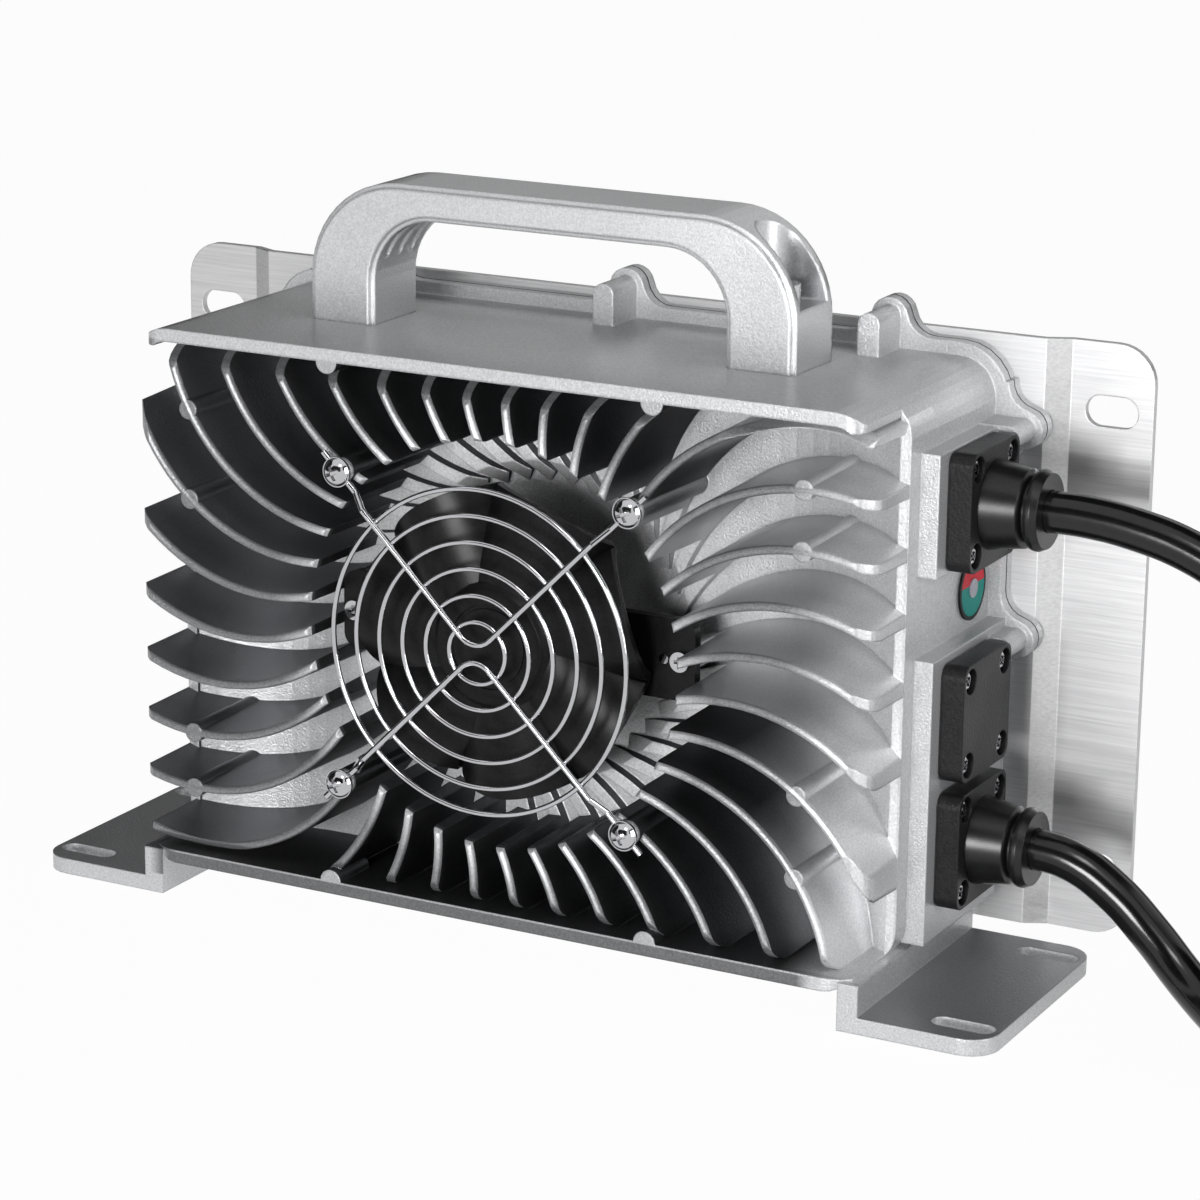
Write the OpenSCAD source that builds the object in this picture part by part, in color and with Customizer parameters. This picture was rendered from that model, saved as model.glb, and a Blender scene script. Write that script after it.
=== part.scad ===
// Fan-cooled lithium battery charger in a die-cast aluminium heat sink housing.
// X runs to the right, Y to the back and Z up. The origin is on the floor,
// in the middle of the four slots of the feet.

/* [Housing] */
// Width of the housing over its side walls
housing_w = 209; // [206:1:214]
// Height of the housing's top face above the floor
housing_top = 154.5; // [153:0.5:157]
// Height of the housing's underside above the floor
housing_bottom = 9.5; // [8.5:0.5:11]
// Radius of the housing's long edges
edge_r = 10; // [8:0.5:11]
// Thickness of the cast walls and plates
wall = 3.5; // [3:0.25:4]
// Distance of the plates' front edge from the origin
plate_front = 36.5; // [36:0.5:38]
// Distance of the flange's front face behind the origin
flange_y = 38; // [37.5:0.5:39]
// How far the flange stands out past the walls
flange_out = 3.5; // [3:0.5:4.5]

/* [Fins] */
// Number of cooling fins round the fan
fin_count = 36; // [30:1:38]
// Direction of the first fin, in degrees above the right-hand side
fin_start = 3.5; // [0:0.5:9.5]
// Radius of each fin's curve
fin_curve_r = 54; // [50:1:60]
// How far a fin leans from the radial line where it starts
fin_lean = 21; // [16:1:26]
// Thickness of a fin at its front edge
fin_tip = 2.3; // [2:0.1:2.6]
// Thickness of a fin at its root
fin_root = 3.6; // [3:0.1:4]
// Distance of the fins' front edges from the origin
fin_front = 35.2; // [34.5:0.1:35.8]
// Radius of the round well that holds the fan
well_r = 52.5; // [51.5:0.5:54]

/* [Fan] */
// Height of the fan's axis above the floor
fan_z = 82.6; // [81:0.1:84]
// Radius of the fan's blade tips
blade_r = 40; // [38:0.5:42]
// Number of fan blades
blade_count = 7; // [5:1:9]
// Radius of the fan's hub
hub_r = 16.5; // [15:0.5:18]
// Distance between neighbouring guard screws
guard_pitch = 82.5; // [82:0.5:83]
// Mean radius of the guard's outer ring
guard_r = 42; // [41:0.5:43]
// Number of rings in the guard
ring_count = 6; // [4:1:7]

/* [Handle] */
// Width of the handle over its legs
handle_w = 139; // [136:1:142]
// Depth of the handle from front to back
handle_d = 23; // [22:0.5:24]
// Height of the handle above the housing
handle_h = 37.5; // [37:0.5:40]
// Width of each leg of the handle
leg_w = 19; // [18:0.5:20]
// Height of the handle's grip
grip_h = 9; // [8.5:0.5:10]

/* [Feet and bracket] */
// Width over both feet
feet_w = 277.5; // [275:0.5:282]
// Depth of the feet
feet_d = 72.5; // [72:0.5:73]
// Thickness of the feet
foot_t = 4.3; // [4:0.1:4.8]
// Distance between the two slots of one foot
slot_pitch = 55; // [54:1:57]
// Distance between the slots of the two feet
slot_span = 258; // [256:1:260]
// Width of the rear bracket over its wings
bracket_w = 286; // [284:1:290]
// Height of the rear bracket
bracket_h = 155; // [154:1:156]
// Thickness of the bracket's sheet
sheet_t = 2; // [1.5:0.1:2.2]

/* [Cables] */
// Diameter of both cables
cable_d = 10.5; // [10.3:0.1:10.5]
// Side of the square cover plates on the right
plate_size = 30; // [29.5:0.1:30.2]

/* [Hidden] */

$fn = 48;
// Gap between a screw's shank and its hole
clear = 0.05;
half_w = housing_w / 2;
inner_top = housing_top - wall;
inner_bottom = housing_bottom + wall;

// Depths of the front face, measured from the origin towards the front
lip_front = 14;
floor_front = 2;
floor_back = -1;
rib_front = 5;
lip_w = 3;
slope_x = 64;
corner_r = 8;
shoulder = [9, 18];
fin_out = 2;
space_front = fin_front + 0.5;

// Rear flange, gasket and cover
flange_t = 3;
gasket_t = 0.6;
cover_t = 2.8;
cover_y = flange_y + flange_t + gasket_t;
bracket_y = cover_y + cover_t;
boss_r = 3;
boss_rise = 8;
hump_r = 5;
hump_fillet = 7;
top_boss_x = [-75, 0, 75];
side_boss_z = [28.5, 83, 137.5];
low_boss_z = inner_bottom + 4.5;

// Fan, seen along its axis
pin_x = 42.5;
ear_x = 47.3;
ear_h = 21;
ear_front = 20.6;
ear_t = 3;
guard_seat = 37.6;
wire_r = 0.8;
ring_wire_r = 0.66;
ring_pitch = 6.8;
guard_half = guard_pitch / 2;
apex = 4;

// Pads, plates and glands on the right-hand side
pad_t = 5;
pad_front = 8;
plate_t = 6;
plate_y = 12;
upper_z = 124.5;
blank_z = 71;
lower_z = 37.8;
seal_t = 0.4;
plate_face = half_w + pad_t + seal_t + plate_t;
plate_screw = 10.8;
gland_out = 14.5;
led_y = 26.5;
led_z = 98.2;
gland_end = plate_face + gland_out;

// Bracket
bracket_z = 4.9;
joggle = 3;
bend_x = 115;
bend_w = 6;
wing_slot_x = 132;
wing_slot_z = [22.4, 142.4];
wing_slot_w = 8;
wing_slot_l = 14;
foot_slot_w = 6;
foot_slot_l = 16.5;

// Handle
handle_y = -6.5;
handle_outer_r = 26;
handle_inner_r = 17;
pocket_floor = 15.5;
pocket_w = 16;
pocket_x = 61.5;
handle_screw_x = 60.5;

// Circuit board inside the housing, and what is clamped to the fin wall
board_back = 32.2;
board_t = 1.6;
board_front = board_back - board_t;
board_screw_x = [-86, 0, 86];
board_screw_z = [30, 141];
transistor_x = [-56, -32, 16, 38, 58];
clamp_x = [-44, 27, 48];
clamp_z = 132;

// Routes of the cables, by hand, to the floor and along it
coil_mid_r = 53;
coil_turn = 10.6;
mains_turns = 2.25;
output_turns = 2.4;
mains_coil_at = [359, 18, 0];
output_coil_at = [240, 18, 0];
mains_route = [
  [89, plate_y, upper_z], [110, plate_y, upper_z],
  [gland_end, plate_y, upper_z], [140, 12, 124.4], [152, 12, 123],
  [166, 12, 119.4], [179, 11.3, 113.2], [190, 9.3, 106], [205, 5.3, 95.3],
  [220, 0.3, 84.7], [235, -5.3, 74.2], [250, -11.3, 63.7], [265, -17.6, 53.2],
  [277, -22.5, 44.8], [290, -27.5, 35.8], [305, -32.7, 25.8],
  [318, -36.2, 18], [331, -37.6, 11.7], [345, -37.2, 7.2], [359, -35, 5.3]
];
output_route = [
  [89, plate_y, lower_z], [110, plate_y, lower_z],
  [gland_end, plate_y, lower_z], [140, 12, 36.4], [151, 12, 30.5],
  [162, 10.9, 21.5], [172, 7.9, 13.2], [181, 3.2, 8], [189, -3, 5.8],
  [197.1, -13.2, 5.3]
];
mains_tail_route = [
  [412, 18, 29.1], [408.4, 36, 31.8], [398.1, 50.6, 38.2],
  [383, 59, 45.5], [370, 61.3, 49], [360, 61.5, 49.5]
];
output_tail_route = [
  [293, 18, 30.7], [289.4, 36, 32.2], [279.1, 50.4, 36.9], [264.5, 58.6, 41.6],
  [251, 61, 43.4], [240, 61.2, 43.5]
];

// Colours
cast_silver = [0.72, 0.73, 0.75];
bright_silver = [0.82, 0.83, 0.84];
steel = [0.68, 0.69, 0.7];
chrome = [0.85, 0.86, 0.88];
black = [0.12, 0.12, 0.12];
rubber = [0.16, 0.16, 0.17];
copper = [0.72, 0.45, 0.25];
ferrite = [0.25, 0.25, 0.27];

// Points of an arc round c, from angle a0 to a1, both ends included
function arc(c, r, a0, a1, n = 8) =
  [for (i = [0 : n]) let (a = a0 + (a1 - a0) * i / n)
    [c[0] + r * cos(a), c[1] + r * sin(a)]];

// Outline of a rectangle with four round corners
function round_rect(x0, x1, y0, y1, r, n = 6) = concat(
  arc([x1 - r, y0 + r], r, -90, 0, n),
  arc([x1 - r, y1 - r], r, 0, 90, n),
  arc([x0 + r, y1 - r], r, 90, 180, n),
  arc([x0 + r, y0 + r], r, 180, 270, n));

// Turns a shape drawn in the front view: x right, y up, z towards the front
module facing() {
  rotate([90, 0, 0]) children();
}

// Turns a shape drawn in the view from the right: x back, y up, z to the right
module siding() {
  rotate([90, 0, 90]) children();
}

// Outline of the housing in the front view, shrunk by inset
module body_outline(inset = 0) {
  polygon(round_rect(-half_w + inset, half_w - inset,
    housing_bottom + inset, housing_top - inset, max(edge_r - inset, 2)));
}

// One screw hump with hollow fillets, standing on the line y = 0
module hump_outline() {
  foot = sqrt(pow(hump_r + hump_fillet, 2)
    - pow(boss_rise - flange_out - hump_fillet, 2));
  lift = boss_rise - flange_out;
  lean = atan2(hump_fillet - lift, foot);
  polygon(concat(
    arc([foot, hump_fillet], hump_fillet, 270, 180 + lean, 5),
    arc([0, lift], hump_r, lean, 180 - lean, 8),
    arc([-foot, hump_fillet], hump_fillet, -lean, -90, 5),
    [[-foot, -2], [foot, -2]]));
}

// Outline of the flange, the gasket and the rear cover
module flange_outline() {
  body_outline(-flange_out);
  for (x = top_boss_x)
    translate([x, housing_top + flange_out]) hump_outline();
  for (z = side_boss_z, s = [-1, 1])
    translate([s * (half_w + flange_out), z]) rotate(-90 * s) hump_outline();
}

// Places its children at every screw of the rear cover
module at_cover_screws() {
  for (x = top_boss_x) translate([x, housing_top + boss_rise]) children();
  for (z = side_boss_z, s = [-1, 1])
    translate([s * (half_w + boss_rise), z]) children();
  for (x = top_boss_x) translate([x, low_boss_z]) children();
}

// Centre of fin k's curve, in the front view
function fin_dir(k) = fin_start + 360 * k / fin_count;
function fin_centre(k) = let (a = fin_dir(k), h = fin_dir(k) + fin_lean)
  [well_r * cos(a) + fin_curve_r * sin(h),
   fan_z + well_r * sin(a) - fin_curve_r * cos(h)];

// One fin: a curved wall that tapers to a round front edge
module fin(k) {
  c = fin_centre(k);
  t = fin_tip / 2;
  r = fin_curve_r;
  bow = arc([r, fin_front - t], t, 0, 180, 4);
  translate([c[0], c[1], 0]) rotate(fin_dir(k) + fin_lean + 90 - 82)
    rotate_extrude(angle = 102)
      polygon(concat([[r - fin_root / 2, 0], [r + fin_root / 2, 0]], bow));
}

// Space that the fins fill: round front corners, open round the fan
module fin_space() {
  difference() {
    intersection() {
      facing_slab();
      side_slab();
    }
    translate([0, fan_z, 0]) rotate_extrude()
      polygon(concat([[0, -1], [well_r, -1]],
        arc([well_r + 3, space_front - 3], 3, 180, 90, 4),
        [[well_r + 3, space_front + 5], [0, space_front + 5]]));
  }
  translate([0, fan_z, 0]) difference() {
    cylinder(h = rib_front, r = well_r + 4);
    translate([0, 0, -1]) cylinder(h = 3, r = 36);
    translate([0, 0, 1.9]) cylinder(h = 3.6, r1 = 36, r2 = 43);
  }
}

module facing_slab() {
  translate([0, housing_top, 0]) rotate([90, 0, 0])
    linear_extrude(housing_top - housing_bottom)
      polygon(concat([[-half_w - fin_out, 0], [half_w - 0.2, 0]],
        arc([half_w - 0.2 - corner_r, space_front - corner_r], corner_r, 0, 90, 6),
        arc([-half_w - fin_out + corner_r, space_front - corner_r], corner_r, 90, 180, 6)));
}

module side_slab() {
  rotate([90, 0, 90]) translate([0, 0, -half_w]) linear_extrude(housing_w)
    polygon(concat([[inner_bottom - 0.5, 0]],
      [[inner_top + 0.5, 0], [inner_top + 0.5, space_front - shoulder[1]]],
      [for (a = [0 : 11.25 : 90]) [inner_top - shoulder[0] * (1 - cos(a)),
        space_front - shoulder[1] * (1 - sin(a))]],
      arc([inner_bottom + corner_r, space_front - corner_r], corner_r, 90, 180, 6),
      [[inner_bottom - 0.5, space_front - corner_r]]));
}

// Round marks left by the ejector pins on the longest fins
module pin_marks() {
  for (k = [2, 3, fin_count - 2, fin_count - 3]) mark_on_fin(k, 86, 1);
  for (k = [15, 16, 20, 21]) mark_on_fin(k, -89, -1);
}

module mark_on_fin(k, x, side) {
  c = fin_centre(k);
  d = pow(fin_curve_r, 2) - pow(x - c[0], 2);
  if (d > 0) translate([x, c[1] + side * sqrt(d), 0])
    cylinder(h = fin_front - 0.3, d = 5.2, $fn = 24);
}

// Plates that run forward over and under the fins
module top_plate() {
  intersection() {
    translate([0, 0, 10]) linear_extrude(plate_front - 10) difference() {
      body_outline();
      body_outline(wall);
      translate([-half_w, 0]) square([housing_w, inner_top - 1.4]);
      for (s = [-1, 1]) translate([s * (half_w - lip_w / 2), housing_top / 2])
        square([lip_w, housing_top * 2], center = true);
    }
    plate_plan(4, lip_w);
  }
  for (s = [-1, 1]) translate([s * 46, inner_top, 22])
    cylinder(h = plate_front - 22, r = 3);
}

module bottom_plate() {
  intersection() {
    translate([0, 0, 10]) linear_extrude(plate_front - 10) difference() {
      body_outline();
      translate([-half_w, inner_bottom]) square([housing_w, housing_top]);
    }
    plate_plan(10, 0);
  }
  for (s = [-1, 1]) translate([s * 46, inner_bottom, 22])
    cylinder(h = plate_front - 22, r = 3);
}

// Plan of a plate with round front corners, drawn as a tall block
module plate_plan(r, inset) {
  rotate([90, 0, 0]) translate([0, 0, -housing_top - 20])
    linear_extrude(housing_top + 40)
      polygon(round_rect(-half_w + inset, half_w - inset, -60, plate_front, r));
}

// Recess in the front face, with a floor that rises to the lips at the sides
module front_recess() {
  x = half_w - lip_w;
  rise = [for (t = [0 : 0.125 : 1]) [slope_x + (x - slope_x) * t,
    floor_front + (lip_front - 1 - floor_front) * t * t]];
  rotate([90, 0, 0]) translate([0, 0, -inner_top])
    linear_extrude(inner_top - inner_bottom)
      polygon(concat([[-x, 40]], [for (i = [8 : -1 : 0]) [-rise[i][0], rise[i][1]]],
        rise, [[x, 40]]));
}

// One foot with its web, for the right-hand side
module foot() {
  web = 5.5;
  d = feet_d / 2;
  difference() {
    union() {
      linear_extrude(foot_t)
        polygon(round_rect(half_w - web, feet_w / 2, -d, d, 8));
      translate([half_w - web, -d, 0])
        cube([web, feet_d, inner_bottom - 0.5]);
      translate([half_w - web, -d, 0]) cube([12, feet_d, foot_t]);
    }
    for (y = [-1, 1]) translate([slot_span / 2, y * slot_pitch / 2, -1])
      slot_cut(foot_slot_l, foot_slot_w, foot_t + 2);
  }
}

// Slot of length l and width w, lying along x
module slot_cut(l, w, h) {
  for (s = [-1, 1]) translate([s * (l - w) / 2, 0, 0]) cylinder(h = h, d = w);
  translate([-(l - w) / 2, -w / 2, 0]) cube([l - w, w, h]);
}

// Raised pads on the right-hand wall that the cover plates are screwed to
module side_pad(z0, z1) {
  translate([half_w - 1, -pad_front, z0])
    cube([pad_t + 1, flange_y + pad_front, z1 - z0]);
}

// Places its children at the screws of the three cover plates, axis along x
module at_plate_screws(z) {
  for (a = [-1, 1], b = [-1, 1])
    translate([0, plate_y + a * plate_screw, z + b * plate_screw])
      rotate([0, 90, 0]) children();
}

module at_board_screws() {
  for (x = board_screw_x, z = board_screw_z) translate([x, 0, z])
    rotate([-90, 0, 0]) children();
}

module guard_seats() {
  for (x = [-1, 1], y = [-1, 1])
    translate([x * guard_half, fan_z + y * guard_half, 0]) children();
}

module housing_solid() {
  facing() {
    difference() {
      translate([0, 0, -flange_y]) linear_extrude(flange_y + lip_front)
        body_outline();
      front_recess();
    }
    top_plate();
    bottom_plate();
    intersection() {
      union() {
        for (k = [0 : fin_count - 1]) fin(k);
        pin_marks();
      }
      fin_space();
    }
    guard_seats() cylinder(h = guard_seat, d = 6.4);
    for (s = [-1, 1]) translate([s * ear_x, fan_z, 0])
      cylinder(h = ear_front - ear_t, d = 7);
    translate([0, 0, -flange_y - flange_t]) linear_extrude(flange_t)
      flange_outline();
    for (x = top_boss_x) translate([x, housing_top, -flange_y - 1])
      screw_rib(flange_y - 25);
    for (z = side_boss_z, s = [-1, 1])
      translate([s * half_w, z, -flange_y - 1]) rotate(-90 * s)
        screw_rib(flange_y - 27.4);
  }
  for (s = [0, 1]) mirror([s, 0, 0]) foot();
  side_pad(109, 140);
  side_pad(14.5, 88);
}

// Half-round rib along the wall that takes a screw of the rear cover
module screw_rib(length) {
  linear_extrude(length + 1) {
    translate([0, boss_rise]) circle(boss_r);
    translate([-boss_r, -1]) square([2 * boss_r, boss_rise + 1]);
  }
}

module housing_cavity() {
  facing() {
    difference() {
      translate([0, 0, -flange_y - flange_t - 1])
        linear_extrude(flange_y + flange_t + 1 + floor_back)
          body_outline(wall);
      for (x = top_boss_x) translate([x, low_boss_z, -60])
        cylinder(h = 60, d = 9);
      for (x = top_boss_x)
        translate([x - 4.5, housing_bottom, -60]) cube([9, 8, 60]);
      for (x = board_screw_x, z = board_screw_z)
        translate([x, z, -board_front]) cylinder(h = 31, d = 7);
    }
    translate([0, 0, -flange_y - flange_t - 1]) at_cover_screws()
      cylinder(h = 12, r = 1.6 + clear);
    guard_seats() translate([0, 0, guard_seat - 12])
      cylinder(h = 13, r = 1.5 + clear);
    for (s = [-1, 1]) translate([s * ear_x, fan_z, ear_front - 12])
      cylinder(h = 13, r = 1.25 + clear);
    translate([0, fan_z - 30, -2]) cylinder(h = 5, d = 5);
  }
  at_board_screws() translate([0, 0, 22])
    cylinder(h = 12, r = 1.25 + clear);
  for (x = clamp_x) translate([x, -1, clamp_z]) rotate([-90, 0, 0])
    cylinder(h = 4, r = 1.5 + clear);
  for (z = [upper_z, blank_z, lower_z]) {
    translate([half_w - 6, plate_y, z]) rotate([0, 90, 0])
      cylinder(h = 14, d = 18);
    translate([half_w - 2, 0, 0]) at_plate_screws(z)
      cylinder(h = 10, r = 1.6 + clear);
  }
  translate([half_w - 6, led_y, led_z]) rotate([0, 90, 0])
    cylinder(h = 8, d = 6);
  for (s = [-1, 1]) translate([s * handle_screw_x, 5, inner_top - 1])
    cylinder(h = 6, r = 2.5 + clear);
}

module housing() {
  color(cast_silver) difference() {
    housing_solid();
    housing_cavity();
  }
}

// Rear cover: a flat casting with an inner rim that keeps the gasket in place
module rear_cover() {
  color(cast_silver) difference() {
    facing() union() {
      translate([0, 0, -cover_y - cover_t]) linear_extrude(cover_t)
        flange_outline();
      translate([0, 0, -cover_y - 0.1]) linear_extrude(4) difference() {
        body_outline(wall + 10.5);
        body_outline(wall + 12.5);
      }
    }
    facing() translate([0, 0, -cover_y - 5]) at_cover_screws()
      cylinder(h = 12, r = 2.1);
    facing() translate([0, 0, -cover_y - cover_t - 1]) at_cover_screws()
      cylinder(h = 2.6, r = 3.8);
    at_bracket_screws() translate([0, 0, -6]) cylinder(h = 12, r = 2 + clear);
  }
}

module cover_gasket() {
  color(rubber) facing() translate([0, 0, -cover_y])
    linear_extrude(gasket_t) difference() {
      flange_outline();
      body_outline(wall + 6);
      at_cover_screws() circle(2.4);
    }
}

// Flat countersunk-style screw with a cross recess, head up
module cross_screw(head_r, head_h, shank_r, length) {
  difference() {
    union() {
      cylinder(h = head_h, r = head_r, $fn = 32);
      translate([0, 0, -length]) cylinder(h = length + 0.2, r = shank_r, $fn = 24);
    }
    for (a = [0, 90]) rotate(a) translate([-head_r * 0.55, -0.5, head_h - 0.8])
      cube([head_r * 1.1, 1, 2]);
  }
}

// Pan head screw with a six-lobed recess, head base at z = 0
module star_screw(head_r, head_h, shank_r, length) {
  difference() {
    union() {
      rotate_extrude($fn = 36) polygon([[0, 0], [head_r, 0],
        [head_r, head_h * 0.5], [head_r - 0.18, head_h * 0.76],
        [head_r - 0.6, head_h * 0.93], [head_r - 1.2, head_h], [0, head_h]]);
      translate([0, 0, -length]) cylinder(h = length + 0.2, r = shank_r, $fn = 24);
    }
    for (a = [0, 60, 120]) rotate(a) translate([-1.35, -0.42, head_h - 0.9])
      cube([2.7, 0.84, 2]);
    translate([0, 0, head_h - 0.9]) cylinder(h = 2, r = 0.95, $fn = 24);
  }
}

module cover_screws() {
  color(steel) facing() translate([0, 0, -cover_y - cover_t + 1.6])
    at_cover_screws() rotate([180, 0, 0])
      cross_screw(3.6, 1.5, 1.6, 12);
}

// Places its children at the screws of the rear bracket, axis to the back
module at_bracket_screws() {
  for (x = [-88, 88], z = [48, 112]) translate([x, bracket_y, z])
    rotate([-90, 0, 0]) children();
}

// Bent steel sheet with two wings that stand back from its middle
module mount_bracket() {
  x1 = bend_x;
  x2 = bend_x + bend_w;
  w = bracket_w / 2;
  t = sheet_t;
  color(steel) difference() {
    translate([0, bracket_y, bracket_z]) linear_extrude(bracket_h)
      polygon([[-w, joggle], [-x2, joggle], [-x1, 0], [x1, 0], [x2, joggle],
        [w, joggle], [w, joggle + t], [x2 - 0.5, joggle + t], [x1 - 0.5, t],
        [-x1 + 0.5, t], [-x2 + 0.5, joggle + t], [-w, joggle + t]]);
    for (s = [-1, 1]) {
      for (z = [0, 1]) translate([s * w, bracket_y - 2, bracket_z + z * bracket_h])
        wing_corner(s, 1 - 2 * z);
      for (z = wing_slot_z)
        translate([s * wing_slot_x, bracket_y + joggle + t + 1, z])
          rotate([90, 0, 0]) slot_cut(wing_slot_l, wing_slot_w, t + 2);
    }
    at_bracket_screws() translate([0, 0, -1]) cylinder(h = t + 2, r = 2.2);
  }
}

// Cutter that rounds one corner of a wing
module wing_corner(sx, sz) {
  r = 10;
  rotate([-90, 0, 0]) linear_extrude(10) scale([sx, -sz])
    polygon(concat([[1, -1], [1, r]], arc([-r, r], r, 0, -90, 8), [[-r, -1]]));
}

module bracket_screws() {
  color(steel) translate([0, sheet_t, 0]) at_bracket_screws()
    cross_screw(4, 2, 2, 7);
}

// Outline of the handle in the front view, standing on y = 0
module handle_outline(grow = 0) {
  w = handle_w / 2 - grow;
  h = handle_h - grow;
  r = handle_outer_r - grow;
  wi = w - leg_w + 2 * grow;
  hi = h - grip_h + 2 * grow;
  ri = handle_inner_r + grow;
  polygon(concat([[w, 0]],
    arc([w - r, h - r], r, 0, 90, 12),
    arc([r - w, h - r], r, 90, 180, 12),
    [[-w, 0], [-wi, 0]],
    arc([ri - wi, hi - ri], ri, 180, 90, 10),
    arc([wi - ri, hi - ri], ri, 90, 0, 10),
    [[wi, 0]]));
}

// Cast handle with pockets for its screws and finger notches in the corners
module handle() {
  step = 1.2;
  inner_x = handle_w / 2 - leg_w;
  grip_z = handle_h - grip_h;
  color(bright_silver) translate([0, handle_y, housing_top]) difference() {
    union() {
      translate([0, handle_d - step, 0]) facing()
        linear_extrude(handle_d - 2 * step) handle_outline();
      translate([0, handle_d, 0]) facing()
        linear_extrude(handle_d) handle_outline(step);
    }
    for (s = [-1, 1]) {
      translate([s * pocket_x, handle_d / 2, pocket_floor]) {
        cylinder(h = handle_h, d = pocket_w);
        translate([s > 0 ? 0 : -20, -pocket_w / 2, 0])
          cube([20, pocket_w, handle_h]);
      }
      translate([s * handle_screw_x, handle_d / 2, -1])
        cylinder(h = pocket_floor + 2, r = 2.7);
      for (y = [5.5, 11.5, 17.5])
        translate([s * (inner_x - 11), y, grip_z - 11]) mirror([s < 0 ? 1 : 0, 0, 0])
          facing() rotate_extrude(angle = 90)
            polygon([[7, -2.2], [11.8, 0], [7, 2.2]]);
    }
  }
}

module handle_screws() {
  color(steel) for (s = [-1, 1])
    translate([s * handle_screw_x, handle_y + handle_d / 2, housing_top + pocket_floor])
      difference() {
        union() {
          cylinder(h = 5, r = 4.5);
          translate([0, 0, -pocket_floor - 4.5])
            cylinder(h = pocket_floor + 5, r = 2.5);
        }
        translate([0, 0, 2]) cylinder(h = 4, r = 2.6, $fn = 6);
      }
}

// Fan frame: motor base with an arm and an ear on each side
module fan_frame() {
  back = ear_front - ear_t;
  color(black) facing() translate([0, fan_z, 0]) difference() {
    union() {
      translate([0, 0, back - 4]) cylinder(h = 5, r = hub_r + 1.5);
      translate([0, 0, back]) linear_extrude(ear_t)
        polygon(round_rect(-51, 51, -ear_h / 2, ear_h / 2, 4));
      translate([0, 0, back - 4]) linear_extrude(5)
        polygon(round_rect(-30, 30, -4, 4, 1));
      translate([0, 0, back]) cylinder(h = 12, r = 4);
    }
    translate([0, 0, back - 5]) cylinder(h = 30, r = 3);
    for (s = [-1, 1]) {
      translate([s * ear_x, 0, back - 1]) cylinder(h = 6, r = 1.5);
      translate([s * pin_x, 0, back - 1]) cylinder(h = 6, r = 1);
      translate([s * 26, 0, back - 5]) cylinder(h = 9, r = 5);
    }
  }
}

module fan_stator() {
  color(copper) facing() translate([0, fan_z, ear_front + 1]) difference() {
    union() {
      cylinder(h = 7, r = 8);
      for (a = [0 : 45 : 315]) rotate(a) translate([6, -2.2, 1])
        cube([6.5, 4.4, 5]);
    }
    translate([0, 0, -1]) cylinder(h = 10, r = 4.05);
  }
}

module fan_bearings() {
  color(steel) facing() translate([0, fan_z, 0])
    for (z = [ear_front - ear_t - 3.5, ear_front + 5]) translate([0, 0, z])
      difference() {
        cylinder(h = 3.5, r = 3);
        translate([0, 0, -1]) cylinder(h = 6, r = 1.55);
      }
}

module fan_shaft() {
  color(steel) facing() translate([0, fan_z, ear_front - ear_t - 3.8])
    cylinder(h = 18, r = 1.5);
}

// Rotor: a cup over the motor with curved blades
module fan_rotor() {
  front = 34.5;
  rim = 22;
  color(black) facing() translate([0, fan_z, 0]) {
    difference() {
      union() {
        translate([0, 0, rim]) cylinder(h = front - rim - 1.5, r = hub_r);
        translate([0, 0, front - 1.5]) cylinder(h = 1.5, r1 = hub_r, r2 = hub_r - 1.5);
      }
      translate([0, 0, rim - 1]) cylinder(h = front - rim - 0.6, r = hub_r - 1.6);
      translate([0, 0, front - 0.6]) difference() {
        cylinder(h = 1, r = 11);
        translate([0, 0, -1]) cylinder(h = 3, r = 10);
      }
    }
    translate([0, 0, front - 4.2]) difference() {
      cylinder(h = 3, r = 3.6);
      translate([0, 0, -1]) cylinder(h = 3.2, r = 1.5);
    }
    for (k = [0 : blade_count - 1]) rotate(360 * k / blade_count + 12)
      fan_blade();
  }
}

// One blade: a piece of a curved shell between the hub and the tip circle
module fan_blade() {
  shell = 20;
  intersection() {
    translate([0, 0, 22.4]) difference() {
      cylinder(h = 11.2, r = blade_r);
      translate([0, 0, -1]) cylinder(h = 14, r = hub_r - 0.8);
    }
    translate([0, 4, 13.5]) rotate([0, 90, 0]) rotate(28) difference() {
      cylinder(h = 60, r = shell);
      translate([0, 0, -1]) cylinder(h = 62, r = shell - 1.6);
    }
    linear_extrude(60)
      polygon([[5, -7], [blade_r + 3, -20], [blade_r + 3, 24], [5, 9]]);
  }
}

module fan_screws() {
  color(chrome) facing() translate([0, fan_z, 0]) for (s = [-1, 1]) {
    translate([s * ear_x, 0, ear_front]) cross_screw(2.6, 1.6, 1.25, 9);
    translate([s * pin_x, 0, ear_front - ear_t]) {
      cylinder(h = ear_t, r = 0.95, $fn = 24);
      translate([0, 0, ear_t]) cylinder(h = 0.5, r = 1.3, $fn = 24);
    }
  }
}

// Round wire from a to b
module wire(a, b, r) {
  d = b - a;
  l = norm(d);
  translate(a) rotate([0, acos(d[2] / l), atan2(d[1], d[0])])
    cylinder(h = l, r = r, $fn = 14);
}

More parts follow.
